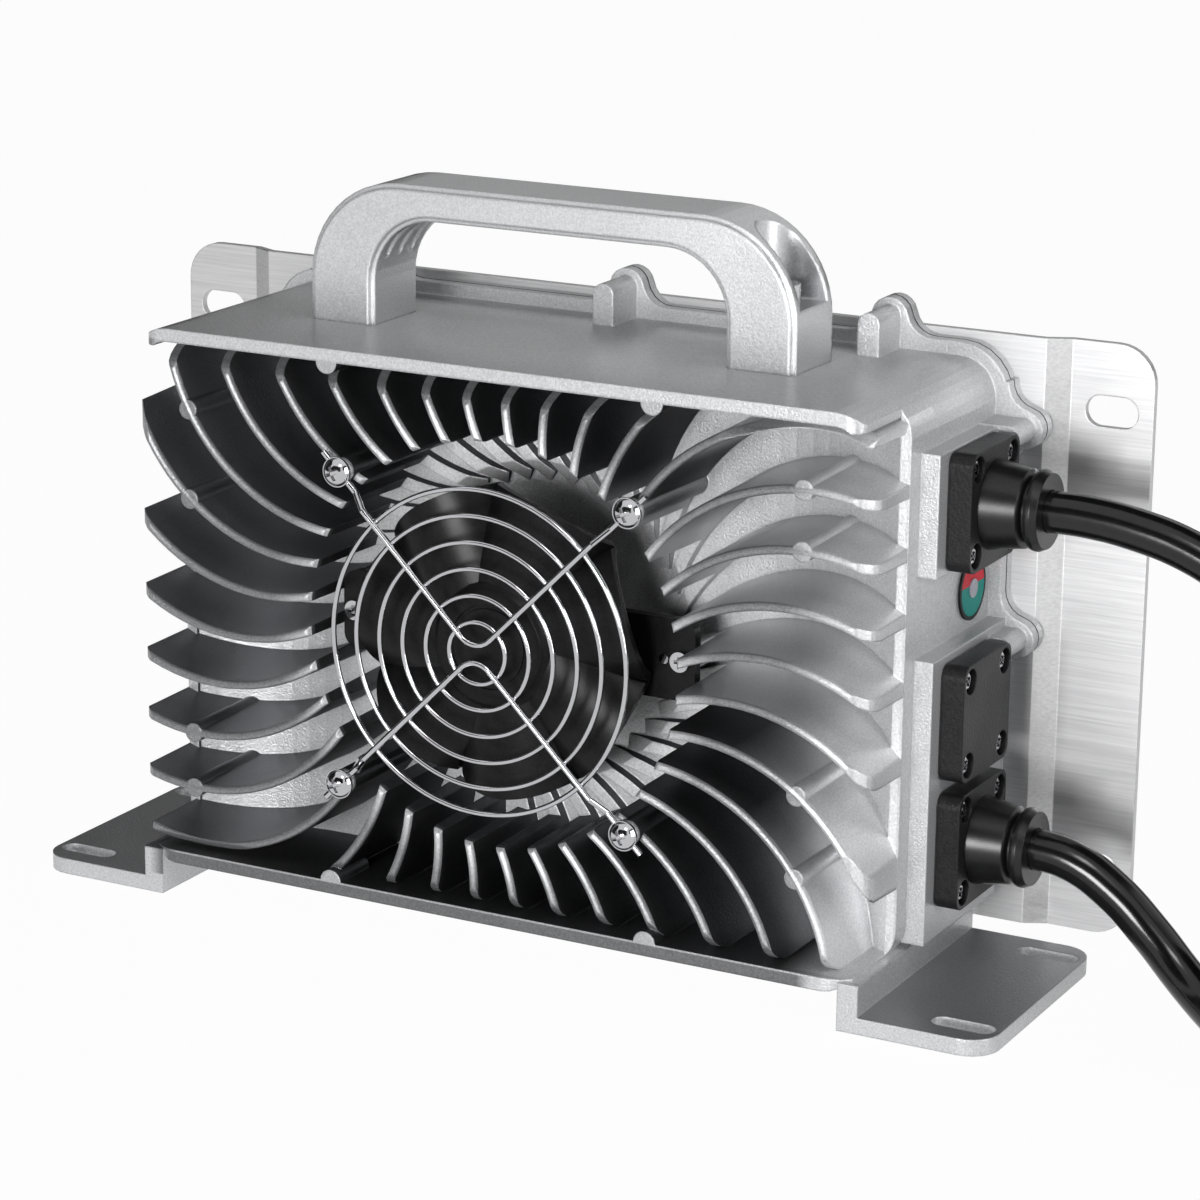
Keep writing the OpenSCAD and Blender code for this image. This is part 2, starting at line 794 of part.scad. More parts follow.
// Arm of the guard: from near the middle out to a loop under a screw's head,
// with a step back behind the outer ring and a short end past the loop
module guard_arm() {
  front = guard_seat + wire_r + 2.8;
  seat = guard_seat + wire_r;
  step_in = guard_half - 8.5;
  step_out = guard_half - 5;
  near = guard_half - 1.8;
  far = guard_half + 1.8;
  end = guard_half + 4.5;
  wire([apex, apex, front], [step_in, step_in, front], wire_r);
  wire([step_in - 0.15, step_in - 0.15, front + 0.1],
    [step_out + 0.15, step_out + 0.15, seat - 0.1], wire_r);
  wire([step_out, step_out, seat], [near, near, seat], wire_r);
  wire([far, far, seat], [end, end, seat], wire_r);
  translate([guard_half, guard_half, seat]) rotate_extrude()
    translate([2.4, 0]) circle(0.74, $fn = 14);
}

module fan_guard() {
  front = guard_seat + wire_r + 2.8;
  back = front - wire_r - ring_wire_r + 0.4;
  color(chrome) facing() translate([0, fan_z, 0]) {
    for (i = [0 : ring_count - 1]) translate([0, 0, back])
      rotate_extrude() translate([guard_r - i * ring_pitch, 0])
        circle(ring_wire_r, $fn = 14);
    for (a = [0 : 90 : 270]) rotate(a) guard_arm();
    for (a = [0, 180]) rotate(a) translate([0, 0, front]) guard_bend();
  }
}

// Round bend that joins two arms into one V-shaped wire
module guard_bend() {
  translate([0, 2 * apex, 0]) rotate(221) rotate_extrude(angle = 98)
    translate([apex / sin(45), 0]) circle(wire_r - 0.06, $fn = 14);
}

module guard_screws() {
  color(chrome) facing() guard_seats()
    translate([0, 0, guard_seat + 2 * wire_r]) difference() {
      union() {
        intersection() {
          translate([0, 0, -1.2]) scale(1) sphere(4.1);
          cylinder(h = 4, r = 4);
        }
        cylinder(h = 0.6, r = 3.91);
        translate([0, 0, -12]) cylinder(h = 12.5, r = 1.5, $fn = 24);
      }
      for (a = [20, 110]) rotate(a) translate([-1.9, -0.45, 1.5])
        cube([3.8, 0.9, 3]);
    }
}

// Square cover plate with round corners and four counterbored screw holes
module cover_plate(z, bore) {
  h = plate_size / 2;
  translate([half_w + pad_t + seal_t, 0, 0]) difference() {
    siding() translate([0, 0, 0]) linear_extrude(plate_t)
      polygon(round_rect(plate_y - h, plate_y + h, z - h, z + h, 3.2));
    at_plate_screws(z) {
      translate([0, 0, -1]) cylinder(h = plate_t + 2, r = 1.9);
      translate([0, 0, plate_t - 3]) cylinder(h = 4, r = 3.3);
    }
    if (bore > 0) translate([-1, plate_y, z]) rotate([0, 90, 0])
      cylinder(h = plate_t + 2, r = bore);
  }
}

module upper_gland_plate() {
  color(black) cover_plate(upper_z, 9.6);
}

module lower_gland_plate() {
  color(black) cover_plate(lower_z, 9.6);
}

module blank_plate() {
  color(black) cover_plate(blank_z, 0);
}

module plate_seals() {
  h = plate_size / 2 - 0.4;
  color(rubber) translate([half_w + pad_t, 0, 0])
    for (z = [upper_z, blank_z, lower_z]) difference() {
      siding() linear_extrude(seal_t)
        polygon(round_rect(plate_y - h, plate_y + h, z - h, z + h, 3));
      translate([-1, 0, 0]) at_plate_screws(z) cylinder(h = 3, r = 1.9);
      translate([-1, plate_y, z]) rotate([0, 90, 0]) cylinder(h = 3, d = 22);
    }
}

module plate_screws() {
  color(chrome) translate([plate_face - 3, 0, 0])
    for (z = [upper_z, blank_z, lower_z]) at_plate_screws(z)
      rotate(15) star_screw(2.9, 2.2, 1.6, 9);
}

// Rubber gland: a tapered sleeve with a groove, an end ring and an inner collar
module gland(z) {
  b = 0.05;
  r = cable_d / 2 + b;
  color(rubber) translate([half_w - 2, plate_y, z]) rotate([0, 90, 0])
    difference() {
      translate([0, 0, 0]) rotate_extrude()
        polygon(concat([[0, 0], [8.5, 0], [8.5, 7], [10.8, 7], [10.8, 7.35],
          [9.5, 7.38], [9.5, plate_face - half_w + 2],
          [11.3, plate_face - half_w + 2.05]],
          [[9.9, 22.5], [9.2, 23], [8.3, 23.6], [8.3, 24.3], [9.9, 24.6],
          [10.2, 25.4], [10.2, 26.2], [9.4, gland_end - half_w + 2],
          [0, gland_end - half_w + 2]]));
      translate([0, 0, -1]) cylinder(h = 40, r = r);
    }
}

module upper_gland() {
  gland(upper_z);
}

module lower_gland() {
  gland(lower_z);
}

module indicator_ring() {
  color(black) translate([half_w, led_y, led_z]) rotate([0, 90, 0])
    difference() {
      cylinder(h = 0.6, d = 16.5);
      translate([0, 0, -1]) cylinder(h = 3, d = 5);
    }
}

module indicator_lens() {
  color([0.6, 0.62, 0.68]) translate([half_w - 4.5, led_y, led_z])
    rotate([0, 90, 0]) {
      cylinder(h = 5.4, d = 4.9);
      translate([0, 0, 0]) cylinder(h = 1, d = 5.8);
    }
}

module circuit_board() {
  color([0.1, 0.35, 0.2]) difference() {
    translate([-94, board_front, 23.5]) cube([188, board_t, 122]);
    at_board_screws() translate([0, 0, 20]) cylinder(h = 20, r = 1.8);
  }
}

module board_screws() {
  color(steel) translate([0, board_back, 0]) at_board_screws()
    cross_screw(2.8, 1.8, 1.25, 9);
}

// Box that stands on the front side of the board
module on_board(x, z, w, h, d) {
  translate([x - w / 2, board_front - d, z - h / 2]) cube([w, d, h]);
}

module transformer_core() {
  color(ferrite) {
    difference() {
      on_board(-30, 75, 46, 40, 24);
      on_board(-30, 75, 34, 28, 20);
    }
    translate([-30, board_front - 22, 75]) rotate([-90, 0, 0])
      cylinder(h = 21.5, r = 6);
  }
}

module transformer_winding() {
  color([0.85, 0.7, 0.2]) translate([-30, board_front - 19.9, 75])
    rotate([-90, 0, 0]) difference() {
      cylinder(h = 19.4, r = 13);
      translate([0, 0, -1]) cylinder(h = 30, r = 6.1);
    }
}

module inductor_cores() {
  color([0.75, 0.72, 0.3]) for (z = [58, 96])
    translate([28, board_front - 10, z]) rotate([0, 0, 0]) rotate([-90, 0, 0])
      difference() {
        translate([0, 0, -6]) cylinder(h = 14, r = 13);
        translate([0, 0, -8]) cylinder(h = 18, r = 7);
      }
}

module inductor_windings() {
  color(copper) for (z = [58, 96]) translate([28, board_front - 10, z])
    rotate([-90, 0, 0]) for (a = [0 : 30 : 330]) rotate(a)
      difference() {
        translate([4.5, -1, -7.6]) cube([11.3, 2, 17.4]);
        translate([6.9, -2, -6.1]) cube([6.2, 4, 14.2]);
      }
}

module capacitors() {
  color([0.15, 0.15, 0.2]) for (p = [[-72, 48], [-72, 76], [-72, 104], [53, 40]])
    translate([p[0], board_front - 26, p[1]]) rotate([-90, 0, 0])
      cylinder(h = 26, r = 11);
}

module power_transistors() {
  for (x = transistor_x) {
    color(black) translate([x - 8, 1.35, 121]) cube([16, 5, 21]);
    color(steel) for (i = [-1, 0, 1]) {
      translate([x + i * 5.4 - 0.6, 3.4, 117]) cube([1.2, 0.8, 4.2]);
      translate([x + i * 5.4 - 0.6, 3.4, 117])
        cube([1.2, board_front - 3.4, 0.8]);
    }
  }
}

module thermal_pads() {
  color([0.8, 0.8, 0.85]) for (x = transistor_x)
    translate([x - 8.3, 1, 119.5]) cube([16.6, 0.35, 23.5]);
}

module clamp_bar() {
  color(steel) difference() {
    translate([-68, 6.35, 128]) cube([138, 2, 8.5]);
    for (x = clamp_x) translate([x, 5, clamp_z])
      rotate([-90, 0, 0]) cylinder(h = 5, r = 1.7);
  }
}

module clamp_screws() {
  color(steel) for (x = clamp_x) translate([x, 8.35, clamp_z])
    rotate([-90, 0, 0]) {
      cylinder(h = 1.8, r = 2.8);
      translate([0, 0, -8.8]) cylinder(h = 9, r = 1.5);
    }
}

module relay() {
  color([0.1, 0.2, 0.5]) on_board(64, 95, 16, 20, 16);
}

module fuse_holder() {
  color([0.7, 0.7, 0.68]) on_board(64, 72, 22, 7, 12);
}

module indicator_led() {
  color([0.9, 0.9, 0.9]) translate([half_w - 8.6, led_y, led_z])
    rotate([0, 90, 0]) cylinder(h = 4, d = 4.8);
  color([0.9, 0.9, 0.9]) translate([half_w - 9.1, led_y - 3, led_z - 3])
    cube([0.6, 6, 6]);
}

module terminal_block() {
  color([0.15, 0.4, 0.2]) for (z = [38, 124]) on_board(75, z, 14, 22, 13);
}

// Smooth curve through the points of a route
function curve_at(p, i, t) =
  let (n = len(p) - 1,
       a = p[max(i - 1, 0)], b = p[i], c = p[min(i + 1, n)],
       d = p[min(i + 2, n)])
  0.5 * ((2 * b) + (c - a) * t + (2 * a - 5 * b + 4 * c - d) * t * t
    + (3 * b - a - 3 * c + d) * t * t * t);

// Round tube along a route, as one closed solid
module cable(route, sides = 10) {
  n = len(route) - 1;
  pts = concat([for (i = [0 : n - 1]) curve_at(route, i, 0)], [route[n]]);
  dirs = [for (i = [0 : n]) unit(pts[min(i + 1, n)] - pts[max(i - 1, 0)])];
  r = cable_d / 2;
  rings = [for (i = [0 : n]) let (d = dirs[i],
      u = unit(cross([0, 0, 1], d)), v = cross(d, u))
    for (k = [0 : sides - 1]) let (a = 360 * (k + 0.5) / sides)
      pts[i] + r * cos(a) * u + r * sin(a) * v];
  sides_f = [for (i = [0 : n - 1], k = [0 : sides - 1])
    let (k2 = (k + 1) % sides)
      [i * sides + k, (i + 1) * sides + k, (i + 1) * sides + k2, i * sides + k2]];
  start = [for (k = [0 : sides - 1]) k];
  finish = [for (k = [0 : sides - 1]) n * sides + sides - 1 - k];
  polyhedron(points = rings, faces = concat([start], sides_f, [finish]));
}

function unit(v) = v / norm(v);

// Closed ring with the outer shape of a coil of cable lying on the floor
module coil(at, turns) {
  r = cable_d / 2;
  h = cable_d + turns * coil_turn;
  translate(at) rotate_extrude()
    polygon(concat(arc([coil_mid_r, r], r, 180, 360, 6),
      arc([coil_mid_r, h - r], r, 0, 180, 6)));
}

module mains_cable() {
  color(black) cable(mains_route);
}

module mains_coil() {
  color(black) coil(mains_coil_at, mains_turns);
}

module mains_tail() {
  color(black) cable(mains_tail_route);
}

module output_cable() {
  color(black) cable(output_route);
}

module output_coil() {
  color(black) coil(output_coil_at, output_turns);
}

module output_tail() {
  color(black) cable(output_tail_route);
}

// Rubber mains plug with a tapered neck, lying at the end of its cable
module at_cable_end(route) {
  n = len(route) - 1;
  d = route[n] - route[n - 1];
  translate(route[n]) rotate(atan2(d[1], d[0])) children();
}

module mains_plug() {
  color(rubber) at_cable_end(mains_tail_route)
    rotate([0, 90, 0]) difference() {
      union() {
        cylinder(h = 12, r1 = 6.5, r2 = 9);
        translate([0, 0, 11]) cylinder(h = 4, r1 = 10, r2 = 15);
        translate([0, 0, 15]) cylinder(h = 20, r = 15);
      }
      translate([0, 0, 30]) for (s = [-1, 1]) translate([0, s * 6, 0])
        cylinder(h = 8, r = 2);
    }
}

module mains_plug_pins() {
  color(steel) at_cable_end(mains_tail_route) for (s = [-1, 1])
    translate([30, s * 6, 0]) rotate([0, 90, 0]) cylinder(h = 19, r = 1.95);
}

// Two-pole battery connector at the end of the output cable
module output_connector() {
  color([0.3, 0.3, 0.32]) at_cable_end(output_tail_route) difference() {
    union() {
      translate([0, -14, -7.5]) cube([28, 28, 15]);
      translate([27, -14, -7.5]) cube([13, 13, 15]);
      translate([27, 1, -2.5]) cube([13, 13, 10]);
    }
    for (s = [-1, 1]) translate([24, s * 7.5, 2.5]) rotate([0, 90, 0])
      cylinder(h = 30, r = 3);
  }
}

module output_contacts() {
  color(copper) at_cable_end(output_tail_route) for (s = [-1, 1])
    translate([24, s * 7.5, 2.5]) rotate([0, 90, 0]) cylinder(h = 13, r = 2.9);
}

housing();
rear_cover();
cover_gasket();
cover_screws();
mount_bracket();
bracket_screws();
handle();
handle_screws();
fan_frame();
fan_stator();
fan_bearings();
fan_shaft();
fan_rotor();
fan_screws();
fan_guard();
guard_screws();
upper_gland_plate();
lower_gland_plate();
blank_plate();
plate_seals();
plate_screws();
upper_gland();
lower_gland();
indicator_ring();
indicator_lens();
circuit_board();
board_screws();
transformer_core();
transformer_winding();
inductor_cores();
inductor_windings();
capacitors();
power_transistors();
thermal_pads();
clamp_bar();
clamp_screws();
relay();
fuse_holder();
indicator_led();
terminal_block();
mains_cable();
mains_coil();
mains_tail();
mains_plug();
mains_plug_pins();
output_cable();
output_coil();
output_tail();
output_connector();
output_contacts();
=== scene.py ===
import math
import bpy
from mathutils import Matrix, Vector


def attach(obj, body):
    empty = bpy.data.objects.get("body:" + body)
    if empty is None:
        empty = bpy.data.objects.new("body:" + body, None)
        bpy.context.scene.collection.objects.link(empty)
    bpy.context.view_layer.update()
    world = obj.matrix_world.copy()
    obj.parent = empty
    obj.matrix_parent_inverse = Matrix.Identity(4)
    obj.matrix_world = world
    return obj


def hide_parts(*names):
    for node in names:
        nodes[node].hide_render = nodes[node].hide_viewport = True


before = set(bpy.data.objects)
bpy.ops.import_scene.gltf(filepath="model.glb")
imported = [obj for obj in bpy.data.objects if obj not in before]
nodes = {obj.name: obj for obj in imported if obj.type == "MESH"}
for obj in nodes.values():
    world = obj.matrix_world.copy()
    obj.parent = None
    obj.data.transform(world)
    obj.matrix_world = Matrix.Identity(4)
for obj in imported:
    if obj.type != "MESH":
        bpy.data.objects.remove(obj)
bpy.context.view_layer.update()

scene = bpy.context.scene
MM_PER_M = 1000.0


def add_object(name, data):
    o = bpy.data.objects.new(name, data)
    scene.collection.objects.link(o)
    return o


# Camera, solved from straight edges, corners and guard screws of the photograph
SENSOR_WIDTH = 36.0
LENS = 115.72
CAMERA_PLACE = (0.45867, -0.84225, 0.35489)
CAMERA_RIGHT = (0.88256459, 0.47007174, 0.01059727)
CAMERA_UP = (-0.13557278, 0.232829, 0.96302164)

cam_data = bpy.data.cameras.new("camera")
cam_data.sensor_width = SENSOR_WIDTH
cam_data.lens = LENS
cam_data.clip_start, cam_data.clip_end = 0.05, 20.0
cam = add_object("camera", cam_data)
cam_right = Vector(CAMERA_RIGHT).normalized()
cam_back = cam_right.cross(Vector(CAMERA_UP).normalized()).normalized()
cam_up = cam_back.cross(cam_right).normalized()
turned = Matrix((cam_right, cam_up, cam_back)).transposed().to_4x4()
cam.matrix_world = Matrix.Translation(CAMERA_PLACE) @ turned
scene.camera = cam
scene.view_settings.view_transform = "Standard"

# Routes of the two cables, in millimetres, along the same points as the CAD pieces
CABLE_D = 10.5
COIL_R = 53.0
COIL_RISE = 10.6
COIL_START_Z = 5.3
COIL_POINTS = 14


def coil_points(centre, start_deg, turns):
    n = int(round(turns * COIL_POINTS))
    out = []
    for i in range(1, n):
        a = math.radians(start_deg + 360.0 * turns * i / n)
        out.append((centre[0] + COIL_R * math.cos(a), centre[1] + COIL_R * math.sin(a),
                    COIL_START_Z + COIL_RISE * turns * i / n))
    return out


MAINS = [
    (112, 12, 124.5), (130.4, 12, 124.5), (140, 12, 124.4), (152, 12, 123),
    (166, 12, 119.4), (179, 11.3, 113.2), (190, 9.3, 106), (205, 5.3, 95.3),
    (220, 0.3, 84.7), (235, -5.3, 74.2), (250, -11.3, 63.7), (265, -17.6, 53.2),
    (277, -22.5, 44.8), (290, -27.5, 35.8), (305, -32.7, 25.8),
    (318, -36.2, 18), (331, -37.6, 11.7), (345, -37.2, 7.2), (359, -35, 5.3)]
MAINS_TAIL = [
    (412, 18, 29.1), (408.4, 36, 31.8), (398.1, 50.6, 38.2),
    (383, 59, 45.5), (370, 61.3, 49), (360, 61.5, 49.5)]
OUTPUT = [
    (112, 12, 37.8), (130.4, 12, 37.8), (140, 12, 36.4), (151, 12, 30.5),
    (162, 10.9, 21.5), (172, 7.9, 13.2), (181, 3.2, 8), (189, -3, 5.8),
    (197.1, -13.2, 5.3)]
OUTPUT_TAIL = [
    (293, 18, 30.7), (289.4, 36, 32.2), (279.1, 50.4, 36.9), (264.5, 58.6, 41.6),
    (251, 61, 43.4), (240, 61.2, 43.5)]
mains_route = MAINS + coil_points((359, 18), -90, 2.25) + MAINS_TAIL
output_route = OUTPUT + coil_points((240, 18), -144, 2.4) + OUTPUT_TAIL


def cord_curve(name, route):
    data = bpy.data.curves.new(name, "CURVE")
    data.dimensions = "3D"
    data.bevel_depth = CABLE_D / 2 / MM_PER_M
    data.bevel_resolution = 6
    data.resolution_u = 6
    data.use_fill_caps = True
    s = data.splines.new("BEZIER")
    s.bezier_points.add(len(route) - 1)
    for b, p in zip(s.bezier_points, route):
        b.co = Vector(p) / MM_PER_M
        b.handle_left_type = b.handle_right_type = "AUTO"
    return add_object(name, data)


# Building blocks of the materials
def new_mat(name):
    m = bpy.data.materials.new(name)
    m.use_nodes = True
    t = m.node_tree
    return m, t, t.nodes["Principled BSDF"]


def feed(t, socket, value):
    """Links a node's output to the socket, or sets a plain value on it."""
    if isinstance(value, bpy.types.NodeSocket):
        t.links.new(value, socket)
    elif socket.type == "RGBA":
        socket.default_value = (*value, 1)
    else:
        socket.default_value = value


def maths(t, operation, *values):
    m = t.nodes.new("ShaderNodeMath")
    m.operation = operation
    for socket, value in zip(m.inputs, values):
        feed(t, socket, value)
    return m.outputs[0]


def product(t, first, *others):
    for other in others:
        first = maths(t, "MULTIPLY", first, other)
    return first


def mixed(t, fac, a, b, kind="RGBA"):
    mix = t.nodes.new("ShaderNodeMix")
    mix.data_type = kind
    feed(t, mix.inputs["Factor"], fac)
    feed(t, mix.inputs["A"], a)
    feed(t, mix.inputs["B"], b)
    return mix.outputs["Result"]


def ranged(t, value, lo, hi, start=0.3, end=0.7):
    """Goes from lo to hi as the value goes from start to end."""
    r = t.nodes.new("ShaderNodeMapRange")
    feed(t, r.inputs["From Min"], start)
    feed(t, r.inputs["From Max"], end)
    feed(t, r.inputs["To Min"], lo)
    feed(t, r.inputs["To Max"], hi)
    feed(t, r.inputs["Value"], value)
    return r.outputs["Result"]


def between(t, value, lo, hi, soft):
    """1 where the value lies between lo and hi, fading out over soft on both sides."""
    return product(t, ranged(t, value, 0.0, 1.0, lo - soft, lo),
                   ranged(t, value, 1.0, 0.0, hi, hi + soft))


def coordinates(t):
    """A point's place in metres, as one vector and as X, Y and Z."""
    co = t.nodes.new("ShaderNodeTexCoord")
    sep = t.nodes.new("ShaderNodeSeparateXYZ")
    feed(t, sep.inputs["Vector"], co.outputs["Object"])
    return co.outputs["Object"], sep.outputs


def distance(t, place, centre):
    off = t.nodes.new("ShaderNodeVectorMath")
    off.operation = "DISTANCE"
    feed(t, off.inputs[0], place)
    feed(t, off.inputs[1], centre)
    return off.outputs["Value"]


def noise(t, scale, detail=3.0, rough=0.5, stretch=None):
    """Noise in the object's own frame, in features per metre."""
    out = t.nodes.new("ShaderNodeTexCoord").outputs["Object"]
    if stretch:
        mp = t.nodes.new("ShaderNodeMapping")
        feed(t, mp.inputs["Scale"], stretch)
        feed(t, mp.inputs["Vector"], out)
        out = mp.outputs["Vector"]
    n = t.nodes.new("ShaderNodeTexNoise")
    feed(t, n.inputs["Scale"], scale)
    feed(t, n.inputs["Detail"], detail)
    feed(t, n.inputs["Roughness"], rough)
    feed(t, n.inputs["Vector"], out)
    return n.outputs["Fac"]


def bumped(t, bsdf, heights, bevel=0.0):
    """Chains bumps (height, strength, distance), over rounded edges if bevel is set."""
    normal = None
    if bevel:
        bv = t.nodes.new("ShaderNodeBevel")
        bv.samples = 4
        feed(t, bv.inputs["Radius"], bevel)
        normal = bv.outputs["Normal"]
    for height, strength, depth in heights:
        b = t.nodes.new("ShaderNodeBump")
        feed(t, b.inputs["Strength"], strength)
        feed(t, b.inputs["Distance"], depth)
        feed(t, b.inputs["Height"], height)
        if normal:
            feed(t, b.inputs["Normal"], normal)
        normal = b.outputs["Normal"]
    feed(t, bsdf.inputs["Normal"], normal)


# Tones of the casting, each as the dark and the light of its grain.
# All tones but outside are painted shade or painted light.
CASTING_TONES = {
    "outside": ((0.42, 0.425, 0.435), (0.60, 0.605, 0.615)),
    "well_and_lip_painted_light": ((0.58, 0.585, 0.595), (0.80, 0.805, 0.815)),
    "noses_painted_shade": ((0.16, 0.162, 0.167), (0.27, 0.273, 0.28)),
    "feet_painted_shade": ((0.22, 0.223, 0.23), (0.30, 0.303, 0.31)),
    "bottom_edge_painted_shade": ((0.10, 0.102, 0.105), (0.16, 0.162, 0.165)),
    "walls_painted_shade": ((0.075, 0.077, 0.08), (0.10, 0.102, 0.105)),
    "left_walls_painted_shade": ((0.17, 0.173, 0.178), (0.21, 0.213, 0.218)),
    "walls_painted_light": ((0.50, 0.504, 0.51), (0.60, 0.604, 0.61)),
}
# Zones of the casting: low, high and the width of the soft border, in metres.
# FACES_SIDEWAYS and FACES_UP are limits on the surface's normal instead.
FIN_ROOM = {"X": (-0.110, 0.082, 0.012), "Y": (-0.0362, 0.0005, 0.0005),
            "Z": (0.0125, 0.1512, 0.0005)}
LIP_ROOM = {"Y": (-0.034, 0.0005, 0.0005), "Z": (0.0125, 0.1495, 0.0003)}
BOTTOM_EDGE = {"X": (-0.099, 0.088, 0.004), "Z": (0.0055, 0.0124, 0.0003)}
FOOT_TOP = {"Z": (0.003, 0.0052, 0.0004)}
FACES_SIDEWAYS = {"Y": (-0.16, 0.16, 0.22)}
# Ramps: the two ends of each change of tone, in metres. The lip takes LIP_SHARE of it.
NOSE_Y = (-0.033, -0.026)
EDGE_Y = (-0.0362, -0.0355)
LIP_STARTS_X = (0.076, 0.09)
LIP_ENDS_X = (0.1036, 0.104)
LIP_SHARE = 0.8
WELL_CENTRE = (0.0, -0.006, 0.0826)
WELL_RING = (0.056, 0.070)
FACES_UP = (0.5, 0.9)
LEFT_WALLS_X = (-0.08, -0.045)
# The walls with painted light lie above a falling line on the right, and right of a steep one
UPPER_FALL = 0.33
UPPER_LINE = (0.0922, 0.0945)
UPPER_TOP_Z = (0.115, 0.13)
UPPER_X = (-0.01, 0.05)
LOWER_LEAN = 0.25
LOWER_LINE = (0.085, 0.100)


def zone(t, at, limits):
    return product(t, *[between(t, at[axis], *limits[axis]) for axis in limits])


def casting_material():
    """Blasted grain, more metallic walls between the fins, painted shade and painted light by
    zone.

    The zones are fixed to the object. Fin walls, fin noses, feet tops and the bottom edge get
    painted shade;
    the ring round the well, the lip and the upper and lower right walls get painted light.
    They copy what light and reflections do to even metal, as seen from the camera's view.
    """
    m, t, b = new_mat("casting_paint")
    place, at = coordinates(t)
    x, y, z = at["X"], at["Y"], at["Z"]
    facing = t.nodes.new("ShaderNodeSeparateXYZ")
    feed(t, facing.inputs["Vector"], t.nodes.new("ShaderNodeNewGeometry").outputs["Normal"])
    coarse = noise(t, 28, 4)
    fine = noise(t, 1900, 2, 0.6)
    speck = noise(t, 1000, 1, 0.5)
    grain = ranged(t, fine, 0, 1)
    tones = {name: mixed(t, grain, *pair) for name, pair in CASTING_TONES.items()}

    room = zone(t, at, FIN_ROOM)
    wall = product(t, zone(t, facing.outputs, FACES_SIDEWAYS), room)
    # Painted shade: the fin noses are darker than the outside
    nose_painted_shade = product(t, room, ranged(t, y, 1.0, 0.0, *NOSE_Y))
    # Painted light: the ring round the well and the lip on the right are lighter
    ring_painted_light = product(t, room, ranged(t, distance(t, place, WELL_CENTRE), 1.0, 0.0, *WELL_RING))
    lip_painted_light = product(t, zone(t, at, LIP_ROOM), ranged(t, x, 0, LIP_SHARE, *LIP_STARTS_X),
                  ranged(t, x, 1, 0, *LIP_ENDS_X))
    # Painted shade on the upward faces of the feet tops
    foot_painted_shade = product(t, zone(t, at, FOOT_TOP),
                   ranged(t, facing.outputs["Z"], 0.0, 1.0, *FACES_UP))
    # Painted shade along the front of the bottom edge
    edge_painted_shade = product(t, zone(t, at, BOTTOM_EDGE), ranged(t, y, 1.0, 0.0, *EDGE_Y))
    colour = tones["outside"]
    for factor, tone in ((nose_painted_shade, "noses_painted_shade"), (maths(t, "MAXIMUM", ring_painted_light, lip_painted_light), "well_and_lip_painted_light"),
                         (foot_painted_shade, "feet_painted_shade"), (edge_painted_shade, "bottom_edge_painted_shade")):
        colour = mixed(t, factor, colour, tones[tone])

    # Painted light on the upper and lower right walls
    fall = maths(t, "MULTIPLY_ADD", x, UPPER_FALL, z)
    lean = maths(t, "MULTIPLY_ADD", z, LOWER_LEAN, x)
    upper_walls_painted_light = product(t, ranged(t, fall, 0, 1, *UPPER_LINE), ranged(t, z, 1, 0, *UPPER_TOP_Z),
                    ranged(t, x, 0, 1, *UPPER_X))
    light = maths(t, "MAXIMUM", upper_walls_painted_light, ranged(t, lean, 0, 1, *LOWER_LINE))
    # Painted shade on the walls between the fins, less of it on the left
    walls_painted_shade_and_light = mixed(t, ranged(t, x, 1, 0, *LEFT_WALLS_X), tones["walls_painted_shade"],
                  tones["left_walls_painted_shade"])
    walls_painted_shade_and_light = mixed(t, light, walls_painted_shade_and_light, tones["walls_painted_light"])
    feed(t, b.inputs["Base Color"], mixed(t, wall, colour, walls_painted_shade_and_light))

    # Painted shade in the reflections of the walls outside the painted light
    reflection_painted_shade = product(t, wall, maths(t, "SUBTRACT", 1.0, light))
    feed(t, b.inputs["Specular Tint"], mixed(t, reflection_painted_shade, (1, 1, 1), (0.3, 0.3, 0.31)))
    feed(t, b.inputs["Metallic"], mixed(t, wall, 0.5, 0.85, "FLOAT"))
    rough = ranged(t, coarse, 0.30, 0.37)
    feed(t, b.inputs["Roughness"], mixed(t, wall, rough, 0.33, "FLOAT"))
    bumped(t, b, [(fine, 0.9, 0.0001), (speck, 0.35, 0.00008)], 0.0007)
    return m


def grainy_metal(name, dark, light, metallic, rough, grain, bump, bevel):
    m, t, b = new_mat(name)
    coarse = noise(t, 28, 4)
    fine = noise(t, grain, 2, 0.6)
    speck = noise(t, grain * 1.9, 1, 0.5)
    feed(t, b.inputs["Base Color"], mixed(t, ranged(t, fine, 0, 1), dark, light))
    feed(t, b.inputs["Roughness"], ranged(t, coarse, *rough))
    feed(t, b.inputs["Metallic"], metallic)
    bumped(t, b, [(fine, bump, 0.0001), (speck, bump * 0.6, 0.00005)], bevel)
    return m


def brushed(name, dark, light, rough):
    """Steel with fine brush lines along X, and slow changes of gloss."""
    m, t, b = new_mat(name)
    lines = noise(t, 6, 3, 0.7, (6.0, 300.0, 300.0))
    wide = noise(t, 4, 2, 0.6, (1.6, 90.0, 90.0))
    feed(t, b.inputs["Base Color"], mixed(t, ranged(t, lines, 0, 1, 0.25, 0.75), dark, light))
    feed(t, b.inputs["Roughness"], ranged(t, wide, *rough))
    feed(t, b.inputs["Metallic"], 1.0)
    bumped(t, b, [(lines, 0.1, 0.00002)], 0.0004)
    return m


def polished(name, colour, rough):
    m, t, b = new_mat(name)
    cloud = noise(t, 160, 3)
    dark = tuple(c * 0.93 for c in colour)
    feed(t, b.inputs["Base Color"], mixed(t, ranged(t, cloud, 0, 1), dark, colour))
    feed(t, b.inputs["Roughness"], ranged(t, cloud, *rough))
    feed(t, b.inputs["Metallic"], 1.0)
    bumped(t, b, [(cloud, 0.02, 0.0001)])
    return m


